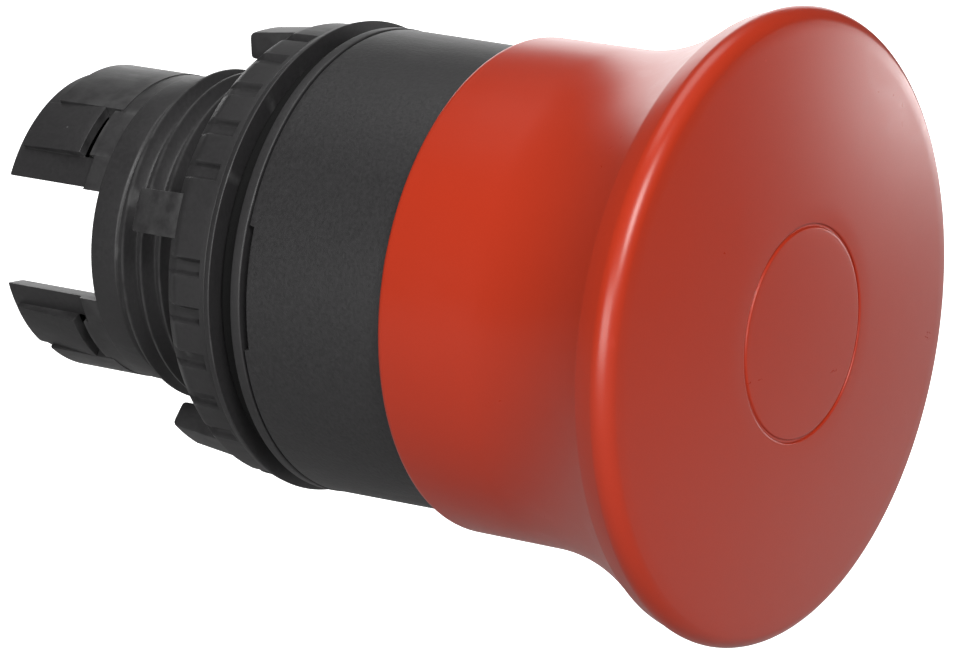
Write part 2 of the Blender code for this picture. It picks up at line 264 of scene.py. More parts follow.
def add_helix_wall(bm, first, second, angles, stations, phase):
    """A right-hand thread between two plain rings, as corners (share of the pitch, radius)."""
    pitch = sizes().thread_pitch / MM
    count = len(angles)
    per_turn = len(stations)
    low = first[0].co.y / MM
    high = second[0].co.y / MM
    made = {}

    def vertex(i, row):
        turns, i = divmod(i, count)
        row += turns * per_turn
        turn, station = divmod(row, per_turn)
        share, radius = stations[station]
        y = phase + pitch * (turn + share + angles[i] / 360)
        if y <= low:
            return first[i]
        if y >= high:
            return second[i]
        if (i, row) not in made:
            made[i, row] = bm.verts.new(place_at(radius, y, angles[i]))
        return made[i, row]

    lowest = per_turn * (math.floor((low - phase) / pitch) - 2)
    highest = per_turn * (math.ceil((high - phase) / pitch) + 2)
    for i in range(count):
        for row in range(lowest, highest):
            corners = (vertex(i, row), vertex(i + 1, row), vertex(i + 1, row + 1), vertex(i, row + 1))
            add_face(bm, corners)


def add_sector(bm, corners, start, end, steps, edge=0.0):
    """A closed block over an outline, from one angle to another, its ends drawn in by edge mm.

    Either angle may be a function of the radius, as where a flat cut ends the block.
    """
    points = soften(corners, 3)
    centre = Vector((sum(p[0] for p in points), sum(p[1] for p in points))) / len(points)
    sections = [(i / steps, 0.0, 0.0) for i in range(steps + 1)]
    if edge:
        turn = math.degrees(edge / centre.x)
        sections[0] = (0, turn, 0.0)
        sections[-1] = (1, -turn, 0.0)
        opening = [(0, 0, edge), (0, 0.3 * turn, 0.3 * edge)]
        closing = [(1, -0.3 * turn, 0.3 * edge), (1, 0, edge)]
        sections = opening + sections + closing
    rings = []
    for share, turn, inset in sections:
        row = []
        for radius, y in points:
            first = start(radius) if callable(start) else start
            last = end(radius) if callable(end) else end
            inward = (centre - Vector((radius, y))).normalized() * inset
            degrees = first + (last - first) * share + math.copysign(turn, turn * (last - first))
            row.append(bm.verts.new(place_at(radius + inward.x, y + inward.y, degrees)))
        rings.append(row)
    for near, far in zip(rings, rings[1:]):
        for i in range(len(points)):
            k = (i + 1) % len(points)
            bm.faces.new((near[i], near[k], far[k], far[i]))
    bm.faces.new(rings[0])
    bm.faces.new(reversed(rings[-1]))


def add_tube(bm, path, radius, sides, closed=False):
    """Round wire along a list of points in metres."""
    rings = []
    count = len(path)
    for i, point in enumerate(path):
        if closed:
            along = path[(i + 1) % count] - path[i - 1]
        else:
            along = path[min(i + 1, count - 1)] - path[max(i - 1, 0)]
        out = Vector((point.x, 0, point.z)).normalized()
        side = along.normalized().cross(out).normalized()
        row = []
        for k in range(sides):
            angle = 2 * math.pi * k / sides
            offset = out * math.cos(angle) + side * math.sin(angle)
            row.append(bm.verts.new(point + offset * radius * MM))
        rings.append(row)
    for near, far in zip(rings, rings[1:]):
        bridge(bm, near, far)
    if closed:
        bridge(bm, rings[-1], rings[0])
    else:
        bm.faces.new(rings[0])
        bm.faces.new(reversed(rings[-1]))


def finish_piece(name, bm, material, body, *nodes):
    """Makes the piece, lets it ride on its body and stands it for its CAD nodes."""
    if not bm.faces:
        raise RuntimeError(f"{name} has no faces")
    bmesh.ops.recalc_face_normals(bm, faces=bm.faces)
    mesh = bpy.data.meshes.new(name)
    bm.to_mesh(mesh)
    bm.free()
    mesh.shade_smooth()
    mesh.set_sharp_from_angle(angle=SHARP_ANGLE)
    mesh.materials.append(material)
    piece = bpy.data.objects.new(name, mesh)
    bpy.context.scene.collection.objects.link(piece)
    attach(piece, body)
    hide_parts(*nodes)
    return piece


def make_turned(name, corners, material, body, *nodes, angles=None):
    bm = bmesh.new()
    add_turned(bm, soften(corners), angles or even_angles(SMOOTH))
    return finish_piece(name, bm, material, body, *nodes)


# ---------------------------------------------------------------- shader groups


def new_group(name, inputs, outputs):
    """An empty group with float inputs (name, default) and outputs (name, kind)."""
    group = bpy.data.node_groups.new(name, "ShaderNodeTree")
    for label, default in inputs:
        socket = group.interface.new_socket(label, in_out="INPUT", socket_type="NodeSocketFloat")
        socket.default_value = default
    for label, kind in outputs:
        group.interface.new_socket(label, in_out="OUTPUT", socket_type=kind)
    source = group.nodes.new("NodeGroupInput")
    sink = group.nodes.new("NodeGroupOutput")
    return group, source.outputs, sink.inputs


def put(tree, kind, values=None, **settings):
    """A node with its settings and its inputs, by name or number. A socket is linked, the rest is set."""
    made = tree.nodes.new(kind)
    for key, value in settings.items():
        setattr(made, key, value)
    for key, value in (values or {}).items():
        if isinstance(value, bpy.types.NodeSocket):
            tree.links.new(value, made.inputs[key])
        else:
            made.inputs[key].default_value = value
    return made


def sum_of(tree, first, second):
    return put(tree, "ShaderNodeMath", {0: first, 1: second}, operation="ADD").outputs[0]


def product_of(tree, first, second):
    return put(tree, "ShaderNodeMath", {0: first, 1: second}, operation="MULTIPLY").outputs[0]


def object_space(tree):
    return put(tree, "ShaderNodeTexCoord").outputs["Object"]


def cells_per_metre(tree, size):
    """The scale of a pattern whose cells are this many millimetres across."""
    return put(tree, "ShaderNodeMath", {0: 1 / MM, 1: size}, operation="DIVIDE").outputs[0]


def ramp_between(tree, value, low, high):
    """0 below low, 1 above high."""
    values = {"Value": value, "From Min": low, "From Max": high}
    return put(tree, "ShaderNodeMapRange", values, clamp=True).outputs["Result"]


def grain_group():
    """Fine moulded grain, as left by an etched tool: height, and a tone that follows it."""
    found = bpy.data.node_groups.get("moulded_grain")
    if found:
        return found
    inputs = [("Size", 0.2), ("Roughening", 0.6)]
    outputs = [("Height", "NodeSocketFloat"), ("Tone", "NodeSocketFloat")]
    group, source, sink = new_group("moulded_grain", inputs, outputs)
    per_metre = cells_per_metre(group, source["Size"])
    space = object_space(group)
    values = {"Vector": space, "Scale": per_metre, "Detail": 3.0, "Roughness": source["Roughening"]}
    noise = put(group, "ShaderNodeTexNoise", values).outputs["Fac"]
    values = {"Vector": space, "Scale": per_metre}
    pits = put(group, "ShaderNodeTexVoronoi", values, feature="SMOOTH_F1").outputs["Distance"]
    mixed = sum_of(group, product_of(group, noise, 0.65), product_of(group, pits, 0.35))
    group.links.new(mixed, sink["Height"])
    group.links.new(ramp_between(group, mixed, 0.3, 0.7), sink["Tone"])
    return group


def flow_group():
    """Slow variation of a moulding: where the melt ran and where hands have been."""
    found = bpy.data.node_groups.get("moulding_flow")
    if found:
        return found
    inputs = [("Size", 8.0), ("Stretch", 0.35)]
    outputs = [("Cloud", "NodeSocketFloat"), ("Smear", "NodeSocketFloat")]
    group, source, sink = new_group("moulding_flow", inputs, outputs)
    per_metre = cells_per_metre(group, source["Size"])
    along = put(group, "ShaderNodeCombineXYZ", {"X": 1.0, "Y": source["Stretch"], "Z": 1.0}).outputs[0]
    values = {0: object_space(group), 1: along}
    space = put(group, "ShaderNodeVectorMath", values, operation="MULTIPLY").outputs[0]
    values = {"Vector": space, "Scale": per_metre, "Detail": 4.0, "Roughness": 0.55, "Distortion": 0.4}
    cloud = put(group, "ShaderNodeTexNoise", values).outputs["Fac"]
    finer = product_of(group, per_metre, 2.7)
    values = {"Vector": space, "Scale": finer, "Detail": 6.0, "Roughness": 0.7, "Distortion": 1.2}
    smear = put(group, "ShaderNodeTexNoise", values).outputs["Fac"]
    group.links.new(ramp_between(group, cloud, 0.32, 0.68), sink["Cloud"])
    group.links.new(ramp_between(group, smear, 0.5, 0.72), sink["Smear"])
    return group


def edge_group():
    """Rubbed edges: a mask that is 1 on the sharp outer edges of a piece."""
    found = bpy.data.node_groups.get("rubbed_edges")
    if found:
        return found
    inputs = [("Start", 0.52), ("Full", 0.62)]
    group, source, sink = new_group("rubbed_edges", inputs, [("Mask", "NodeSocketFloat")])
    point = put(group, "ShaderNodeNewGeometry").outputs["Pointiness"]
    worn = ramp_between(group, point, source["Start"], source["Full"])
    values = {"Vector": object_space(group), "Scale": 0.9 / MM, "Detail": 4.0}
    broken = ramp_between(group, put(group, "ShaderNodeTexNoise", values).outputs["Fac"], 0.35, 0.6)
    group.links.new(product_of(group, worn, broken), sink["Mask"])
    return group


def speck_group():
    """Scattered light specks, such as moulding dust and gate crumbs."""
    found = bpy.data.node_groups.get("light_specks")
    if found:
        return found
    inputs = [("Size", 1.2), ("Reach", 0.06), ("Share", 0.8)]
    group, source, sink = new_group("light_specks", inputs, [("Mask", "NodeSocketFloat")])
    per_metre = cells_per_metre(group, source["Size"])
    cells = put(group, "ShaderNodeTexVoronoi", {"Vector": object_space(group), "Scale": per_metre})
    values = {0: cells.outputs["Distance"], 1: source["Reach"]}
    near = put(group, "ShaderNodeMath", values, operation="LESS_THAN").outputs[0]
    red = put(group, "ShaderNodeSeparateColor", {"Color": cells.outputs["Color"]}).outputs["Red"]
    chosen = put(group, "ShaderNodeMath", {0: red, 1: source["Share"]}, operation="GREATER_THAN").outputs[0]
    group.links.new(product_of(group, near, chosen), sink["Mask"])
    return group


# ---------------------------------------------------------------- materials


def use_group(tree, group, **values):
    made = tree.nodes.new("ShaderNodeGroup")
    made.node_tree = group
    for key, value in values.items():
        made.inputs[key].default_value = value
    return made.outputs


def shade(colour, factor):
    return (colour[0] * factor, colour[1] * factor, colour[2] * factor, 1.0)


def mixed_colour(tree, factor, first, second):
    made = put(tree, "ShaderNodeMix", {"Factor": factor}, data_type="RGBA")
    for key, value in ((6, first), (7, second)):
        if isinstance(value, bpy.types.NodeSocket):
            tree.links.new(value, made.inputs[key])
        else:
            made.inputs[key].default_value = value
    return made.outputs[2]


def spread(tree, factor, low, high):
    """Maps a mask from 0..1 to low..high."""
    values = {"Value": factor, "To Min": low, "To Max": high}
    return put(tree, "ShaderNodeMapRange", values).outputs["Result"]


def new_material(name):
    material = bpy.data.materials.new(name)
    material.use_nodes = True
    tree = material.node_tree
    return material, tree, tree.nodes["Principled BSDF"].inputs


def moulded(name, colour, look):
    """A moulded plastic or rubber. look holds its numbers: grain in mm, depth in mm, and shares."""
    found = bpy.data.materials.get(name)
    if found:
        return found
    material, tree, shader = new_material(name)
    grain = use_group(tree, grain_group(), Size=look["grain"])
    flow = use_group(tree, flow_group(), Size=look["flow"])
    edge = use_group(tree, edge_group())
    specks = use_group(tree, speck_group(), Share=look["specks"])
    dark = shade(colour, 1 - look["mottle"])
    light = shade(colour, 1 + look["mottle"])
    cloudy = shade(colour, look["cloud_tone"])
    tone = mixed_colour(tree, grain["Tone"], dark, light)
    tone = mixed_colour(tree, product_of(tree, flow["Cloud"], look["cloud"]), tone, cloudy)
    tone = mixed_colour(tree, product_of(tree, edge["Mask"], look["wear"]), tone, look["worn"])
    tone = mixed_colour(tree, product_of(tree, specks["Mask"], 0.6), tone, look["worn"])
    tree.links.new(tone, shader["Base Color"])
    rough = spread(tree, flow["Smear"], look["rough"], look["rough"] - look["polish"])
    tree.links.new(rough, shader["Roughness"])
    shader["IOR"].default_value = look["ior"]
    height = sum_of(tree, grain["Height"], product_of(tree, flow["Cloud"], look["waviness"]))
    values = {"Strength": 1.0, "Distance": look["depth"] * MM, "Height": height}
    bump = put(tree, "ShaderNodeBump", values)
    tree.links.new(bump.outputs["Normal"], shader["Normal"])
    return material


def red_plastic():
    look = {
        "grain": 0.11, "depth": 0.0018, "flow": 9.0, "mottle": 0.03, "cloud": 0.22, "cloud_tone": 1.1,
        "wear": 0.25, "worn": (0.50, 0.05, 0.03, 1.0), "rough": 0.31, "polish": 0.04, "ior": 1.46,
        "waviness": 0.5, "specks": 0.995,
    }
    return moulded("red_satin_plastic", colours().red, look)


def sleeve_plastic():
    look = {
        "grain": 0.24, "depth": 0.022, "flow": 7.0, "mottle": 0.38, "cloud": 0.3, "cloud_tone": 1.15,
        "wear": 0.35, "worn": (0.09, 0.09, 0.09, 1.0), "rough": 0.5, "polish": 0.05, "ior": 1.5,
        "waviness": 0.6, "specks": 0.97,
    }
    return moulded("black_grained_plastic", colours().black, look)


def body_plastic():
    look = {
        "grain": 0.26, "depth": 0.009, "flow": 4.0, "mottle": 0.22, "cloud": 0.4, "cloud_tone": 1.2,
        "wear": 0.4, "worn": (0.10, 0.10, 0.10, 1.0), "rough": 0.52, "polish": 0.08, "ior": 1.5,
        "waviness": 0.9, "specks": 0.93,
    }
    return moulded("black_glass_filled_plastic", colours().black, look)


def seal_rubber():
    look = {
        "grain": 0.3, "depth": 0.01, "flow": 3.0, "mottle": 0.1, "cloud": 0.3, "cloud_tone": 1.4,
        "wear": 0.3, "worn": (0.02, 0.02, 0.02, 1.0), "rough": 0.9, "polish": 0.1, "ior": 1.3,
        "waviness": 0.8, "specks": 0.97,
    }
    # The rubber colour carries painted shade on top of black rubber's own tone.
    return moulded("black_seal_rubber", colours().rubber, look)


def ivory_plastic():
    look = {
        "grain": 0.25, "depth": 0.004, "flow": 5.0, "mottle": 0.03, "cloud": 0.3, "cloud_tone": 0.9,
        "wear": 0.3, "worn": (0.75, 0.72, 0.64, 1.0), "rough": 0.42, "polish": 0.1, "ior": 1.5,
        "waviness": 0.8, "specks": 0.99,
    }
    return moulded("ivory_moulded_plastic", colours().ivory, look)


def bright_steel(name, turned_marks):
    """Plated or drawn steel, with fine lines round the axis and a little tarnish."""
    found = bpy.data.materials.get(name)
    if found:
        return found
    material, tree, shader = new_material(name)
    colour = colours().steel
    flow = use_group(tree, flow_group(), Size=2.5)
    edge = use_group(tree, edge_group())
    tone = mixed_colour(tree, flow["Cloud"], shade(colour, 0.82), shade(colour, 1.05))
    tone = mixed_colour(tree, product_of(tree, edge["Mask"], 0.5), tone, (0.85, 0.85, 0.86, 1.0))
    tree.links.new(tone, shader["Base Color"])
    shader["Metallic"].default_value = 1.0
    tree.links.new(spread(tree, flow["Smear"], 0.24, 0.36), shader["Roughness"])
    values = {"Vector": object_space(tree), "Scale": turned_marks, "Detail": 2.0}
    lines = put(tree, "ShaderNodeTexNoise", values).outputs["Fac"]
    bump = put(tree, "ShaderNodeBump", {"Strength": 1.0, "Distance": 0.001 * MM, "Height": lines})
    tree.links.new(bump.outputs["Normal"], shader["Normal"])
    return material


def plated_steel():
    return bright_steel("plated_steel", 9000.0)


def spring_wire():
    return bright_steel("drawn_spring_wire", 14000.0)


# ---------------------------------------------------------------- the mushroom

RIM_Y = -31.8
FLARE_LENGTH = 12.0
FLARE_CURVE = 0.033
CAP_BORE = 15.4
GROOVE_WIDTH = 0.22
GROOVE_DEPTH = 0.14
POCKET_LIP = 1.5
SCREW_HEAD_Y = -30.35


def face_y(radius):
    """Height of the gently domed face at this radius."""
    return DISC_LOW.y / MM + radius**2 / (2 * sizes().dome_radius / MM)


def flare_radius(from_rim):
    return sizes().skirt_radius / MM + FLARE_CURVE * (FLARE_LENGTH - from_rim) ** 2


def cap_outline():
    rim = sizes().rim_radius / MM
    rounding = sizes().rim_round / MM
    rear = CAP_HIGH.y / MM
    pocket = sizes().disc_radius / MM + GROOVE_WIDTH
    lip = pocket + POCKET_LIP
    corners = [
        (pocket, face_y(pocket) + 0.9, 0),
        (pocket, face_y(pocket), 0.14),
        (lip, face_y(lip), 0),
    ]
    points = soften(corners)[1:]
    steps = 24
    edge = rim - rounding
    for i in range(1, steps + 1):
        radius = lip + (edge - 0.6 - lip) * i / steps
        points.append((radius, face_y(radius)))
    for i in range(1, 15):
        angle = math.radians(-84 + 114 * i / 14)
        points.append((edge + rounding * math.cos(angle), RIM_Y + rounding * math.sin(angle)))
    start = rounding * 1.2
    for i in range(1, 41):
        from_rim = start + (FLARE_LENGTH - start) * i / 40
        points.append((flare_radius(from_rim), RIM_Y + from_rim))
    skirt = sizes().skirt_radius / MM
    points += soften(
        [
            (skirt, RIM_Y + FLARE_LENGTH + 3, 0),
            (skirt, rear, 0.42),
            (CAP_BORE, rear, 0.1),
            (CAP_BORE, -27.9, 0),
        ],
        6,
    )
    points += [
        (CAP_BORE, -27.9),
        (13.9, -29.4),
        (7.2, -29.4),
        (7.2, -24.0),
        (4.5, -24.0),
        (4.5, -27.8),
        (1.9, -27.8),
        (1.9, -29.6),
        (3.6, -29.6),
        (3.6, -32.3),
        (pocket, -32.3),
    ]
    return points


class STOPHEAD_OT_mushroom(bpy.types.Operator):
    """Moulds the red mushroom with its flare and skirt"""

    bl_idname = "stop_head.mushroom"
    bl_label = "Mushroom"

    def execute(self, context):
        bm = bmesh.new()
        add_turned(bm, cap_outline(), even_angles(256))
        finish_piece("mushroom_moulding", bm, red_plastic(), "button", "mushroom_cap")
        return {"FINISHED"}


class STOPHEAD_OT_centre_disc(bpy.types.Operator):
    """Moulds the disc let into the middle of the face"""

    bl_idname = "stop_head.centre_disc"
    bl_label = "Centre disc"

    def execute(self, context):
        radius = sizes().disc_radius / MM
        rear = DISC_HIGH.y / MM
        inner = 0.92 * radius
        points = [(0, DISC_LOW.y / MM)]
        for i in range(1, 9):
            points.append((inner * i / 8, face_y(inner * i / 8)))
        floor = face_y(radius) + GROOVE_DEPTH
        seat = radius + GROOVE_WIDTH - 0.01
        rim = [
            (inner, face_y(inner), 0),
            (radius, face_y(radius), 0.12),
            (radius + 0.04, floor, 0.05),
            (seat, floor, 0),
        ]
        points += soften(rim)[1:]
        points.append((seat, rear))
        points.append((0, rear))
        bm = bmesh.new()
        add_turned(bm, points, even_angles(SMOOTH))
        finish_piece("centre_disc_moulding", bm, red_plastic(), "button", "cap_center_disc")
        return {"FINISHED"}


class STOPHEAD_OT_cap_fixing(bpy.types.Operator):
    """Makes the screw and the washer that hold the mushroom on its spindle"""

    bl_idname = "stop_head.cap_fixing"
    bl_label = "Cap screw and washer"

    def execute(self, context):
        low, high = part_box("cap_screw")
        front = low.y / MM
        rear = high.y / MM
        corners = [
            (0, front + 0.9, 0),
            (1.0, front + 0.9, 0.1),
            (1.25, front, 0.1),
            (2.2, front, 0.4),
            (3.0, front + 0.9, 0.3),
            (3.0, SCREW_HEAD_Y, 0.1),
            (1.5, SCREW_HEAD_Y, 0.2),
            (1.5, rear - 0.8, 0.1),
            (0.9, rear, 0.1),
            (0, rear, 0),
        ]

        def cross(radius, y, degrees):
            if y > front + 0.8 or radius < 0.9 or radius > 1.3:
                return radius, y
            return radius * (0.72 + 0.38 * abs(math.cos(math.radians(2 * degrees)))), y

        bm = bmesh.new()
        add_turned(bm, soften(corners, 3), even_angles(INNER), cross)
        finish_piece("cap_fixing_screw", bm, plated_steel(), "button", "cap_screw")
        low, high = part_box("cap_washer")
        corners = [
            (1.75, low.y / MM, 0.08),
            (high.x / MM, low.y / MM, 0.12),
            (high.x / MM, high.y / MM, 0.12),
            (1.75, high.y / MM, 0.08),
        ]
        angles = even_angles(INNER)
        make_turned("cap_fixing_washer", corners, plated_steel(), "button", "cap_washer", angles=angles)
        return {"FINISHED"}


# ---------------------------------------------------------------- the moving stem


class STOPHEAD_OT_stem(bpy.types.Operator):
    """Makes the spindle, its clip and the cup that pushes a contact block"""

    bl_idname = "stop_head.stem"
    bl_label = "Stem and pusher"

    def execute(self, context):
        grooves = []
        for y in (-9.2, -3.2):
            grooves += [(3.4, y - 0.75, 0.15), (3.0, y - 0.3, 0.2)]
            grooves += [(3.0, y + 0.3, 0.2), (3.4, y + 0.75, 0.15)]
        corners = [
            (1.8, -27.5, 0.1),
            (3.9, -27.5, 0),
            (4.2, -27.2, 0),
            (4.2, -17.2, 0.2),
            (3.4, -16.6, 0.2),
            *grooves,
            (3.4, -0.4, 0.15),
            (2.6, -0.4, 0.1),
            (2.6, 6.2, 0.05),
            (2.05, 6.2, 0),
            (2.05, 7.1, 0),
            (2.6, 7.1, 0.05),
            (2.6, 7.9, 0.1),
            (2.2, 8.3, 0.1),
            (0, 8.3, 0),
            (0, -18.4, 0),
            (1.8, -18.4, 0),
        ]
        angles = even_angles(INNER)
        make_turned("stem_moulding", corners, ivory_plastic(), "button", "spindle", angles=angles)
        bm = bmesh.new()
        ring = [(2.25, 6.4, 0.05), (4.05, 6.4, 0.12), (4.05, 6.9, 0.12), (2.25, 6.9, 0.05)]
        add_sector(bm, ring, 35, 325, 60)
        finish_piece("stem_retaining_ring", bm, spring_wire(), "button", "spindle_clip")
        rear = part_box("rear_pusher")[1].y / MM
        corners = [
            (2.8, -0.2, 0.1),
            (7.6, -0.2, 0.3),
            (7.6, rear, 0.35),
            (6.3, rear, 0.25),
            (6.3, 1.4, 0.5),
            (4.6, 1.4, 0.3),
            (4.6, 6.0, 0.2),
            (2.8, 6.0, 0.1),
        ]
        make_turned("pusher_cup", corners, ivory_plastic(), "button", "rear_pusher")
        return {"FINISHED"}


# ---------------------------------------------------------------- the threaded body

THREAD_CREST = 10.95
THREAD_CORE = 10.05
THREAD_FRONT = 0.7
THREAD_REAR = 11.7
THREAD_PHASE = 1.06
NECK_RADIUS = 10.2
BODY_BORE = 8.0
NECK_REAR = 13.9
FINGER_OUTER = 9.45
FINGER_FOOT = NECK_RADIUS - 0.1
UPPER_CUT = 3.42
LOWER_CUT = 3.81
BACK_RADIUS = NECK_RADIUS - 0.05
BACK_REAR = 20.4
BACK_HALF_ANGLE = 35.0
SLOT_START = 36.0
PAD_END = 56.5
SHOULDER_Y = 15.4
SLOT_FRONT = 15.6
PAD_FRONT = 16.45
PAD_REAR = 21.5


def body_ring_corners():
    flange_front = -2.0
    return [
        (BODY_BORE, NECK_REAR, 0.15),
        (BODY_BORE, -7.0, 0),
        (3.7, -7.0, 0.1),
        (3.7, -9.0, 0.1),
        (9.6, -9.0, 0.4),
        (9.6, -17.0, 0.2),
        (12.6, -17.0, 0.3),
        (12.6, flange_front, 0),
        (15.15, flange_front, 0.12),
        (15.15, -1.26, 0.12),
        (THREAD_CREST, -1.26, 0),
        (THREAD_CREST, THREAD_FRONT - 0.2, 0),
        (THREAD_CORE, THREAD_FRONT, 0),
        (THREAD_CORE, THREAD_REAR, 0),
        (NECK_RADIUS, THREAD_REAR + 0.15, 0.08),
        (BACK_RADIUS, NECK_REAR, 0.12),
    ]


def add_threaded_ring(bm):
    """Everything of the body in front of the fingers."""
    corners = body_ring_corners()
    points = soften(corners, 4)
    angles = even_angles(144)
    start = points.index((THREAD_CORE, THREAD_FRONT))
    rings = []
    for radius, y in points:
        rings.append([bm.verts.new(place_at(radius, y, degrees)) for degrees in angles])
    stations = [
        (0.0, THREAD_CORE),
        (0.32, THREAD_CORE),
        (0.40, THREAD_CORE + 0.1),
        (0.56, THREAD_CREST - 0.1),
        (0.60, THREAD_CREST),
        (0.70, THREAD_CREST),
        (0.74, THREAD_CREST - 0.1),
        (0.90, THREAD_CORE + 0.1),
    ]
    for i, (first, second) in enumerate(zip(rings, rings[1:] + rings[:1])):
        if i == start:
            add_helix_wall(bm, first, second, angles, stations, THREAD_PHASE)
        else:
            bridge(bm, first, second)


def finger_walls():
    """Outlines of a finger's plain wall: its whole length, in front of a slot, and behind it."""
    root = NECK_REAR - 1.5
    rear = BODY_HIGH.y / MM
    foot = [(BODY_BORE, root, 0), (FINGER_FOOT, root, 0), (FINGER_FOOT, SHOULDER_Y - 0.2, 0.1)]
    tip = [(FINGER_OUTER, rear, 0.25), (BODY_BORE, rear, 0.2)]
    whole = [*foot, (FINGER_OUTER, SHOULDER_Y + 0.2, 0.15), *tip]
    before_slot = [*foot, (FINGER_FOOT, SLOT_FRONT, 0), (BODY_BORE, SLOT_FRONT, 0)]
    behind_slot = [(BODY_BORE, PAD_FRONT, 0), (FINGER_OUTER, PAD_FRONT, 0), *tip]
    return whole, before_slot, behind_slot


def add_finger(bm, middle, cut):
    """One curved finger centred on this angle, cut flat at this distance from the axis."""
    whole, before_slot, behind_slot = finger_walls()
    inside = FINGER_OUTER - 0.4
    back = [
        (inside, SHOULDER_Y - 0.4, 0),
        (BACK_RADIUS, SHOULDER_Y - 0.4, 0),
        (BACK_RADIUS, BACK_REAR, 0.12),
        (inside, BACK_REAR, 0),
    ]
    pad = [
        (inside, PAD_FRONT, 0),
        (BACK_RADIUS, PAD_FRONT, 0.05),
        (FINGER_FOOT, PAD_FRONT + 1.0, 0.4),
        (FINGER_OUTER + 0.35, PAD_REAR, 0.1),
        (inside, PAD_REAR, 0),
    ]
    add_sector(bm, back, middle - BACK_HALF_ANGLE, middle + BACK_HALF_ANGLE, 40, 0.05)
    add_sector(bm, whole, middle - SLOT_START, middle + SLOT_START, 40)
    for side in (-1, 1):

        def cut_angle(radius, side=side):
            return middle + side * math.degrees(math.acos(cut / radius))

        slot_start = middle + side * (SLOT_START - 0.2)
        slot_end = middle + side * (PAD_END + 0.2)
        add_sector(bm, whole, middle + side * PAD_END, cut_angle, 8, 0.08)
        add_sector(bm, before_slot, slot_start, slot_end, 14)
        add_sector(bm, behind_slot, slot_start, slot_end, 14)
        add_sector(bm, pad, middle + side * BACK_HALF_ANGLE, middle + side * PAD_END, 16, 0.05)


class STOPHEAD_OT_body(bpy.types.Operator):
    """Moulds the threaded body with its flange, neck and two fingers"""

    bl_idname = "stop_head.body"
    bl_label = "Threaded body"

    def execute(self, context):
        bm = bmesh.new()
        add_threaded_ring(bm)
        add_finger(bm, 0, UPPER_CUT)
        add_finger(bm, 180, LOWER_CUT)
        finish_piece("threaded_body_moulding", bm, body_plastic(), "housing", "operator_body")
        return {"FINISHED"}


# ---------------------------------------------------------------- sleeve and seals


class STOPHEAD_OT_sleeve(bpy.types.Operator):
    """Moulds the grained sleeve that the skirt slides over, with its pry slots"""

    bl_idname = "stop_head.sleeve"
    bl_label = "Sleeve"

    def execute(self, context):
        rear = SLEEVE_HIGH.y / MM
        outer = SLEEVE_HIGH.x / MM
        front = SLEEVE_LOW.y / MM
        slot_half = 15.3
        slot_depth = 0.35
        slot_floor = 0.9
        corners = [
            (12.9, rear, 0),
            (outer - slot_floor, rear, 0),
            (outer - slot_floor + 0.01, rear, 0),
            (outer, rear, 0.06),
            (outer, rear - 0.5, 0),
            (outer - 0.15, -18.7, 0.1),
            (14.2, -18.7, 0),
            (14.2, -20.3, 0),
            (14.95, -20.3, 0.1),
            (14.95, front, 0.4),
            (12.9, front, 0.3),
            (12.9, front + 1.4, 0),
            (13.6, front + 1.8, 0),
            (13.6, rear - 2.4, 0),
            (12.9, rear - 2.1, 0),
        ]
        edges = []
        for side in (90, 270):
            for half in (slot_half, slot_half - 0.3):
                edges += [side - half, side + half]
        angles = sorted(set(even_angles(SMOOTH) + edges))

        def slot(radius, y, degrees):
            off = min(abs(degrees - 90), abs(degrees - 270))
            if off > slot_half - 0.2 or radius < outer - slot_floor + 0.005 or y < rear - 0.2:
                return radius, y
            return radius, y - slot_depth

        bm = bmesh.new()
        add_turned(bm, soften(corners), angles, slot)
        finish_piece("sleeve_moulding", bm, sleeve_plastic(), "housing", "bezel_sleeve")
        return {"FINISHED"}


class STOPHEAD_OT_seals(bpy.types.Operator):
    """Makes the panel gasket, the skirt's wiper and the stem seal"""

    bl_idname = "stop_head.seals"
    bl_label = "Seals"

    def execute(self, context):
        outer = GASKET_HIGH.x / MM - 0.45
        front = GASKET_LOW.y / MM
        corners = [
            (11.2, front, 0.1),
            (outer, front, 0.2),
            (outer, 0.0, 0.25),
            (11.2, 0.0, 0.1),
        ]
        make_turned("panel_gasket_ring", corners, seal_rubber(), "housing", "panel_gasket")
        corners = [
            (14.4, -20.1, 0.1),
            (14.9, -20.1, 0.1),
            (15.2, -19.5, 0.3),
            (14.9, -18.9, 0.1),
            (14.4, -18.9, 0.1),
        ]
        make_turned("skirt_wiper_ring", corners, seal_rubber(), "housing", "skirt_wiper")
        corners = [
            (3.6, -10.6, 0.05),
            (4.6, -10.6, 0.15),
            (5.2, -10.2, 0.15),
            (5.2, -9.3, 0.1),
            (3.9, -9.3, 0.1),
            (3.6, -10.1, 0.1),
        ]
        angles = even_angles(INNER)
        make_turned("stem_seal_ring", corners, seal_rubber(), "housing", "stem_seal", angles=angles)
        return {"FINISHED"}


# ---------------------------------------------------------------- washer and nut

TEETH = 30
TOOTH_PITCH = 360 / TEETH
VALLEY_HALF = 1.7
LUGS = 5
FIRST_LUG = -75.25
LUG_HALF = 5.75
LUG_INNER = 12.4
LUG_RADIUS = 14.3
NUT_ROOT = 11.15
NUT_CREST = 10.35


def tooth_angles():
    angles = []
    for tooth in range(TEETH):
        middle = FIRST_LUG + TOOTH_PITCH * tooth
        for offset in (0.0, 1.1, 1.4, 1.7, 2.0, 2.3, 3.2, 4.5):
            angles += [middle + offset, middle - offset] if offset else [middle]
        angles.append(middle + TOOTH_PITCH / 2)
    return sorted(angle % 360 for angle in angles)


def valley_share(degrees):
    """0 on a land or a lug of the nut and 1 in a valley between two teeth."""
    tooth = round((degrees - FIRST_LUG) / TOOTH_PITCH)
    if tooth % (TEETH // LUGS) == 0:
        return 0
    off = abs(degrees - FIRST_LUG - tooth * TOOTH_PITCH)
    share = min(max((VALLEY_HALF + 0.6 - off) / 1.2, 0), 1)
    return share * share * (3 - 2 * share)


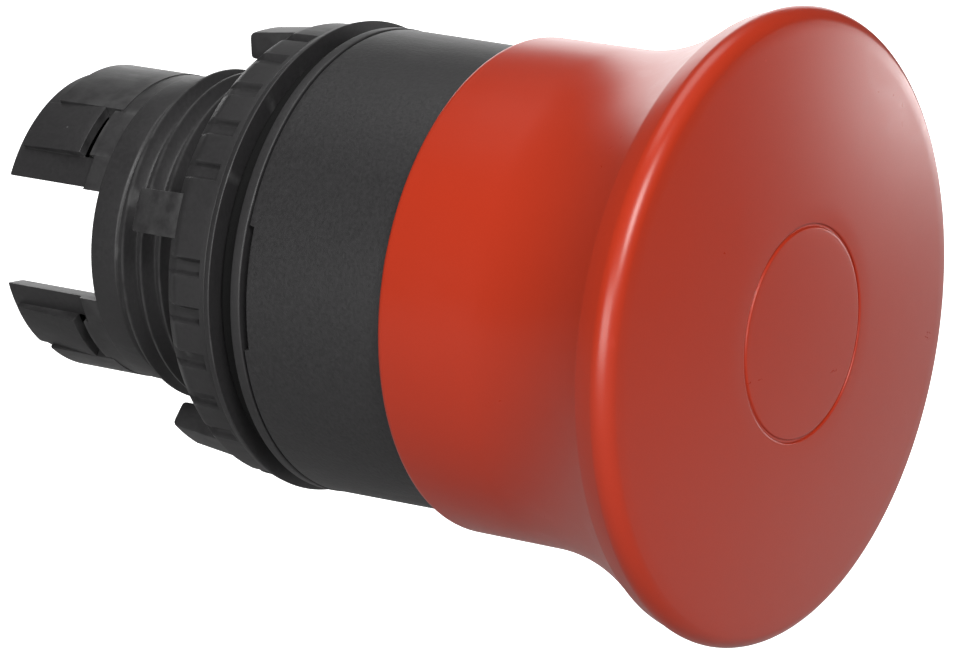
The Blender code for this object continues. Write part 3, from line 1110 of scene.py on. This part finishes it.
class STOPHEAD_OT_washer(bpy.types.Operator):
    """Makes the thin washer in front of the nut"""

    bl_idname = "stop_head.washer"
    bl_label = "Washer"

    def execute(self, context):
        outer = WASHER_HIGH.x / MM
        front = WASHER_LOW.y / MM + 0.08
        rear = WASHER_HIGH.y / MM
        corners = [
            (11.25, front, 0.05),
            (outer, front, 0.12),
            (outer - 0.1, rear, 0.08),
            (11.25, rear, 0.05),
        ]
        make_turned("nut_washer", corners, body_plastic(), "washer", "thrust_washer")
        return {"FINISHED"}


class STOPHEAD_OT_nut(bpy.types.Operator):
    """Moulds the serrated ring nut with its five lugs"""

    bl_idname = "stop_head.nut"
    bl_label = "Ring nut"

    def execute(self, context):
        outer = NUT_HIGH.x / MM
        front = NUT_LOW.y / MM
        rear = 4.5
        depth = sizes().tooth_depth / MM
        lip = front + 0.45
        corners = [
            (NUT_ROOT + 0.35, front, 0),
            (outer, front, 0.12),
            (outer, lip, 0.05),
            (outer, lip + 0.02, 0),
            (outer - 0.05, rear - 1.1, 0.3),
            (outer - 0.9, rear, 0.25),
            (NUT_ROOT + 0.4, rear, 0.1),
            (NUT_ROOT, rear - 0.3, 0),
            (NUT_ROOT, front + 0.3, 0),
        ]
        points = soften(corners, 4)
        angles = tooth_angles()

        def serration(radius, y, degrees):
            if y < lip + 0.015 or radius < outer - depth:
                return radius, y
            return max(radius - depth * valley_share(degrees), outer - depth), y

        bm = bmesh.new()
        rings = []
        for radius, y in points:
            row = []
            for degrees in angles:
                moved, height = serration(radius, y, degrees)
                row.append(bm.verts.new(place_at(moved, height, degrees)))
            rings.append(row)
        stations = [
            (0.0, NUT_CREST + 0.08),
            (0.037, NUT_CREST),
            (0.263, NUT_CREST),
            (0.30, NUT_CREST + 0.08),
            (0.45, NUT_ROOT),
            (0.85, NUT_ROOT),
        ]
        last = len(rings) - 2
        for i, (first, second) in enumerate(zip(rings, rings[1:] + rings[:1])):
            if i == last:
                add_helix_wall(bm, second, first, angles, stations, THREAD_PHASE)
            else:
                bridge(bm, first, second)
        lug_rear = NUT_HIGH.y / MM
        lug = [
            (LUG_INNER, rear - 1.2, 0),
            (LUG_RADIUS + 0.35, rear - 1.2, 0),
            (LUG_RADIUS - 0.15, lug_rear, 0.4),
            (LUG_INNER, lug_rear, 0.3),
        ]
        for number in range(LUGS):
            middle = FIRST_LUG + 360 * number / LUGS
            add_sector(bm, lug, middle - LUG_HALF, middle + LUG_HALF, 8, 0.1)
        finish_piece("ring_nut_moulding", bm, body_plastic(), "nut", "ring_nut")
        return {"FINISHED"}


# ---------------------------------------------------------------- springs and detent


class STOPHEAD_OT_springs(bpy.types.Operator):
    """Winds the return spring"""

    bl_idname = "stop_head.springs"
    bl_label = "Return spring"

    def execute(self, context):
        low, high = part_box("return_spring")
        wire = 0.5
        coil = 6.2
        turns = 6
        front = low.y / MM + wire
        rear = high.y / MM - wire
        steps = turns * 36
        path = []
        for step in range(steps + 1):
            share = step / steps
            eased = share - math.sin(2 * math.pi * share) / (2 * math.pi)
            y = front + (rear - front) * (0.25 * share + 0.75 * eased)
            path.append(place_at(coil, y, 360 * turns * share))
        bm = bmesh.new()
        add_tube(bm, path, wire, 12)
        spring = finish_piece("return_spring_coil", bm, spring_wire(), "housing", "return_spring")
        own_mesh(spring)
        return {"FINISHED"}


class STOPHEAD_OT_detent(bpy.types.Operator):
    """Makes the detent's cage, balls and band spring"""

    bl_idname = "stop_head.detent"
    bl_label = "Detent"

    def execute(self, context):
        low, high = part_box("detent_cage")
        centre_y = -3.2
        corners = [
            (3.75, low.y / MM, 0.1),
            (7.7, low.y / MM, 0.2),
            (7.7, centre_y - 0.9, 0.1),
            (6.0, centre_y - 0.9, 0.1),
            (6.0, centre_y + 0.9, 0.1),
            (7.7, centre_y + 0.9, 0.1),
            (7.7, high.y / MM, 0.2),
            (3.75, high.y / MM, 0.1),
        ]
        bm = bmesh.new()
        add_turned(bm, soften(corners), even_angles(INNER))
        cage = finish_piece("detent_cage_ring", bm, ivory_plastic(), "housing", "detent_cage")
        cut_ball_holes(cage, centre_y)
        for ball in range(1, 5):
            ball_low, ball_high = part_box(f"detent_ball_{ball}")
            bm = bmesh.new()
            middle = Matrix.Translation((ball_low + ball_high) / 2)
            bmesh.ops.create_icosphere(bm, subdivisions=4, radius=1.25 * MM, matrix=middle)
            name = f"detent_ball_bearing_{ball}"
            finish_piece(name, bm, plated_steel(), "housing", f"detent_ball_{ball}")
        bm = bmesh.new()
        path = [place_at(6.72, centre_y, degrees) for degrees in even_angles(SMOOTH)]
        add_tube(bm, path, 0.42, 12, closed=True)
        finish_piece("detent_band", bm, spring_wire(), "housing", "detent_spring")
        return {"FINISHED"}


def cut_ball_holes(cage, centre_y):
    """Drills the four radial holes that the balls sit in."""
    radius = 1.5 * MM
    depth = 3.6 * MM
    bm = bmesh.new()
    for ball in range(4):
        turn = Matrix.Rotation(math.radians(90 * ball), 4, "Y")
        out = Matrix.Translation((0, centre_y * MM, 4.8 * MM))
        matrix = turn @ out
        bmesh.ops.create_cone(
            bm, cap_ends=True, segments=32, radius1=radius, radius2=radius, depth=depth, matrix=matrix
        )
    mesh = bpy.data.meshes.new("ball_hole_drill")
    bm.to_mesh(mesh)
    bm.free()
    drill = bpy.data.objects.new("ball_hole_drill", mesh)
    bpy.context.scene.collection.objects.link(drill)
    modifier = cage.modifiers.new("ball holes", "BOOLEAN")
    modifier.operation = "DIFFERENCE"
    modifier.object = drill
    modifier.solver = "EXACT"
    graph = bpy.context.evaluated_depsgraph_get()
    drilled = bpy.data.meshes.new_from_object(cage.evaluated_get(graph))
    cage.modifiers.clear()
    cage.data = drilled
    bpy.data.objects.remove(drill)


# ---------------------------------------------------------------- stage

# Each lamp's place and target in metres, its width and height in metres, and its power in watts.
LAMPS = {
    "key_lamp": ((-0.45, -0.5, 0.45), (0, -0.01, 0), 0.3, 0.3, 5.2),
    "top_lamp": ((0.0, 0.1, 0.7), (0, 0, 0), 0.6, 0.4, 2.0),
    "fill_lamp": ((-0.5, -0.12, 0.0), (0, -0.01, 0), 0.4, 0.25, 2.3),
    "backdrop_lamp": ((0.62, 0.48, 0.1), (0, -0.01, 0), 0.6, 0.5, 2.2),
    "side_lamp": ((0.8, -0.2, -0.1), (0, -0.01, -0.1), 0.4, 0.28, 2.9),
}
ROOM_LIGHT = 0.1
FLOOR_DROP = 0.03
FLOOR_HALF = 6.0
LENS = 201.35
CAMERA_PLACE = (-0.27780, -0.19801, 0.05973)
CAMERA_RIGHT = (0.5681, -0.8214, 0.0505)
CAMERA_UP = (0.1240, 0.1461, 0.9815)


def soft_box(name, place, target, width, height, power):
    """A rectangular lamp at place, in metres, turned to face target."""
    lamp = bpy.data.lights.new(name, "AREA")
    lamp.shape = "RECTANGLE"
    lamp.size = width
    lamp.size_y = height
    lamp.energy = power
    obj = bpy.data.objects.new(name, lamp)
    obj.location = place
    obj.rotation_euler = (Vector(target) - Vector(place)).to_track_quat("-Z", "Y").to_euler()
    obj.visible_camera = False
    bpy.context.scene.collection.objects.link(obj)
    return obj


def pale_floor_material():
    """Pale paper with painted shade: grey in front of the head and on its -X side so that the head reflects
    a darker floor there, lit up to plain white where the camera sees it.
    """
    material, tree, shader = new_material("pale_paper")
    space = object_space(tree)
    noise = put(tree, "ShaderNodeTexNoise", {"Vector": space, "Scale": 40.0, "Detail": 5.0})
    tone = mixed_colour(tree, noise.outputs["Fac"], (0.78, 0.78, 0.78, 1.0), (0.82, 0.82, 0.82, 1.0))
    place = put(tree, "ShaderNodeSeparateXYZ", {0: space}).outputs
    # Painted shade: the paper is grey (0.32) except on the +X side behind the front of the head, standing
    # in for the shade a black card would cast on the floor.
    far_side = ramp_between(tree, place["X"], 0.0, 0.1)
    behind = product_of(tree, far_side, ramp_between(tree, place["Y"], -0.25, -0.08))
    tone = mixed_colour(tree, behind, (0.32, 0.32, 0.32, 1.0), tone)
    tree.links.new(tone, shader["Base Color"])
    shader["Roughness"].default_value = 0.9
    shader["Emission Color"].default_value = (1.0, 1.0, 1.0, 1.0)
    seen = put(tree, "ShaderNodeLightPath").outputs["Is Camera Ray"]
    tree.links.new(seen, shader["Emission Strength"])
    return material


def dim_room():
    world = bpy.data.worlds.new("dim_room")
    world.use_nodes = True
    background = world.node_tree.nodes["Background"]
    background.inputs["Color"].default_value = (1.0, 1.0, 1.0, 1.0)
    background.inputs["Strength"].default_value = ROOM_LIGHT
    bpy.context.scene.world = world


def make_camera():
    """A long lens in front, to the side and a little above, rolled to lay the head over."""
    right = Vector(CAMERA_RIGHT)
    up = Vector(CAMERA_UP)
    back = right.cross(up)
    turn = Matrix((right, up, back)).transposed().to_4x4()
    camera = bpy.data.cameras.new("studio_camera")
    camera.sensor_width = 36.0
    camera.lens = LENS
    camera.clip_start = 0.01
    camera.clip_end = 20.0
    obj = bpy.data.objects.new("studio_camera", camera)
    obj.matrix_world = Matrix.Translation(CAMERA_PLACE) @ turn
    bpy.context.scene.collection.objects.link(obj)
    bpy.context.scene.camera = obj


class STOPHEAD_OT_stage(bpy.types.Operator):
    """Lays the pale floor and sets the soft lights and the camera"""

    bl_idname = "stop_head.stage"
    bl_label = "Stage"

    def execute(self, context):
        bm = bmesh.new()
        bmesh.ops.create_grid(bm, x_segments=8, y_segments=8, size=FLOOR_HALF)
        mesh = bpy.data.meshes.new("studio_floor")
        bm.to_mesh(mesh)
        bm.free()
        mesh.materials.append(pale_floor_material())
        floor = bpy.data.objects.new("studio_floor", mesh)
        floor.location = (0, 0, CAD_LOW.z - FLOOR_DROP)
        context.scene.collection.objects.link(floor)
        for name, lamp in LAMPS.items():
            soft_box(name, *lamp)
        dim_room()
        make_camera()
        context.scene.view_settings.view_transform = "Standard"
        return {"FINISHED"}


# ---------------------------------------------------------------- the add-on itself

OPERATORS = (
    STOPHEAD_OT_mushroom,
    STOPHEAD_OT_centre_disc,
    STOPHEAD_OT_cap_fixing,
    STOPHEAD_OT_stem,
    STOPHEAD_OT_body,
    STOPHEAD_OT_sleeve,
    STOPHEAD_OT_seals,
    STOPHEAD_OT_washer,
    STOPHEAD_OT_nut,
    STOPHEAD_OT_springs,
    STOPHEAD_OT_detent,
    STOPHEAD_OT_stage,
)


class STOPHEAD_PT_panel(bpy.types.Panel):
    """Lists the pieces of the stop head"""

    bl_idname = "STOPHEAD_PT_panel"
    bl_label = "Stop Head"
    bl_space_type = "VIEW_3D"
    bl_region_type = "UI"
    bl_category = "Stop Head"

    def draw(self, context):
        column = self.layout.column(align=True)
        for operator in OPERATORS:
            column.operator(operator.bl_idname)
        for group in (context.scene.stop_head_sizes, context.scene.stop_head_colours):
            box = self.layout.box()
            for name in group.__annotations__:
                box.prop(group, name)


CLASSES = (StopHeadSizes, StopHeadColours, *OPERATORS, STOPHEAD_PT_panel)


def register():
    for cls in CLASSES:
        bpy.utils.register_class(cls)
    bpy.types.Scene.stop_head_sizes = PointerProperty(type=StopHeadSizes)
    bpy.types.Scene.stop_head_colours = PointerProperty(type=StopHeadColours)


def unregister():
    del bpy.types.Scene.stop_head_colours
    del bpy.types.Scene.stop_head_sizes
    for cls in reversed(CLASSES):
        bpy.utils.unregister_class(cls)


def run_operator(operator):
    group, name = operator.bl_idname.split(".")
    result = getattr(getattr(bpy.ops, group), name)()
    if result != {"FINISHED"}:
        raise RuntimeError(f"{operator.bl_label} did not finish")


def main():
    register()
    for operator in OPERATORS:
        run_operator(operator)


if __name__ == "__main__":
    main()
